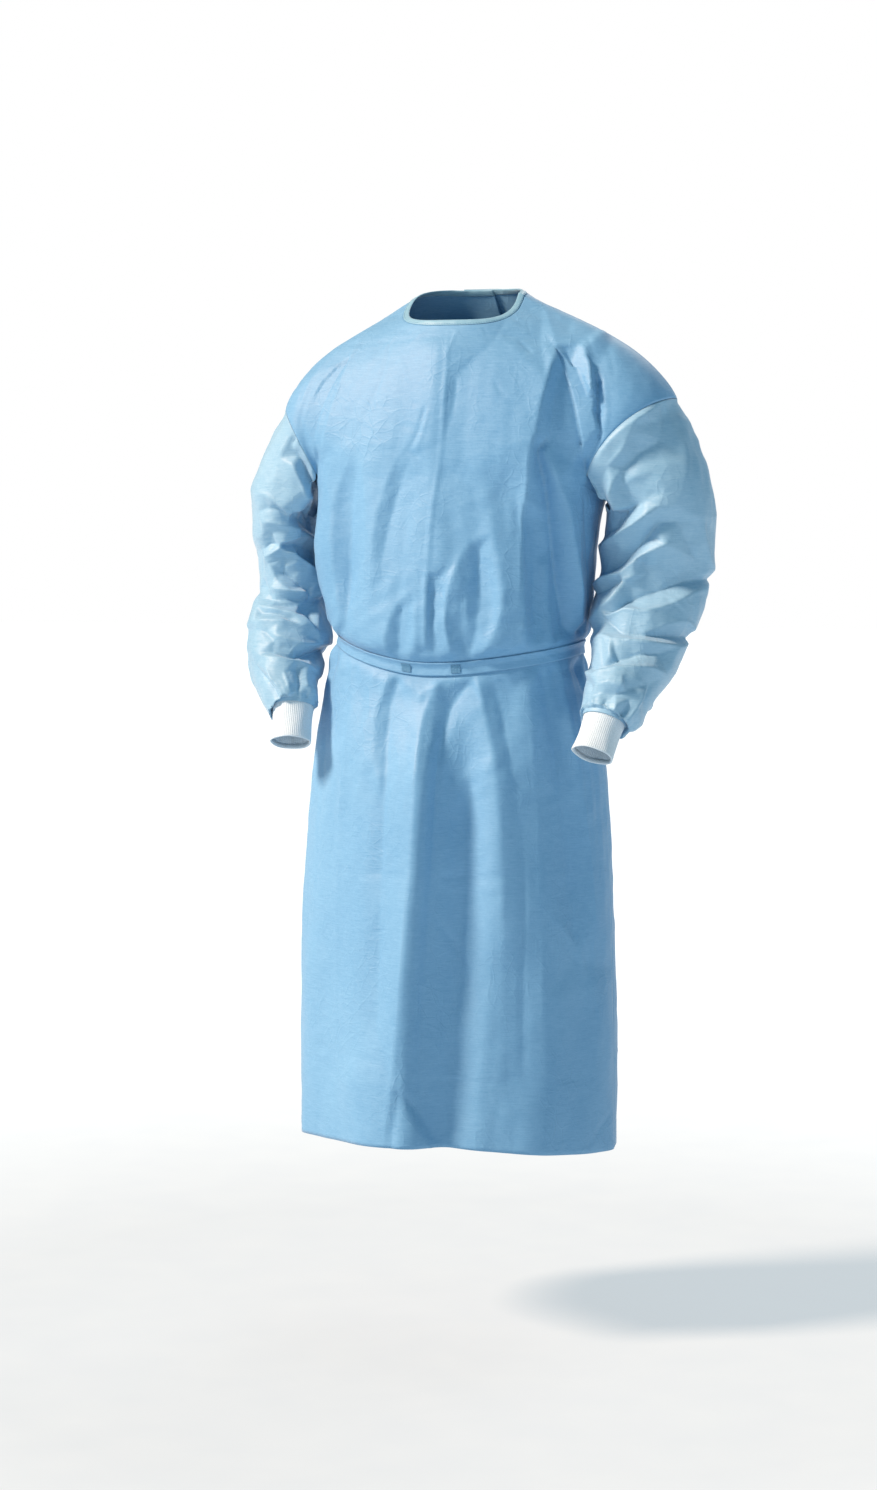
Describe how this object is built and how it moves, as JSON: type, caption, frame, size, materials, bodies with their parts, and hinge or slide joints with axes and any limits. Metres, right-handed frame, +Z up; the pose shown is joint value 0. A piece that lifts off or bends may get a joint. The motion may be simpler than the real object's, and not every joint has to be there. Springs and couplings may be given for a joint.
{
  "type": "chemotherapy gown, worn form",
  "caption": "Long-sleeved back-opening protective gown in worn form, hollow, with knit cuffs, round neck and a waist belt tied behind.",
  "frame": {"origin": "where the wearer's shoulders hold it: midway between the two sides of the neck opening, at shoulder level", "axes": "+Z up along the wearer's height, -Y out of the gown's front, +X toward the wearer's left sleeve"},
  "size_m": [0.6898, 0.428, 1.2433],
  "materials": {
    "gown_cloth": "soft satin",
    "sleeve_cloth": "soft satin",
    "cuff_knit": "matt",
    "neck_edging": "soft satin"
  },
  "bodies": {
    "root": {"front": "gown_cloth", "back_left": "gown_cloth", "back_right": "gown_cloth", "sleeve_left": "sleeve_cloth", "sleeve_right": "sleeve_cloth", "cuff_left": "cuff_knit", "cuff_right": "cuff_knit", "neck_binding": "neck_edging", "belt": "gown_cloth", "belt_tab_left": "gown_cloth", "belt_tab_right": "gown_cloth", "belt_knot": "gown_cloth", "belt_end_left": "gown_cloth", "belt_end_right": "gown_cloth"}
  },
  "joints": []
}
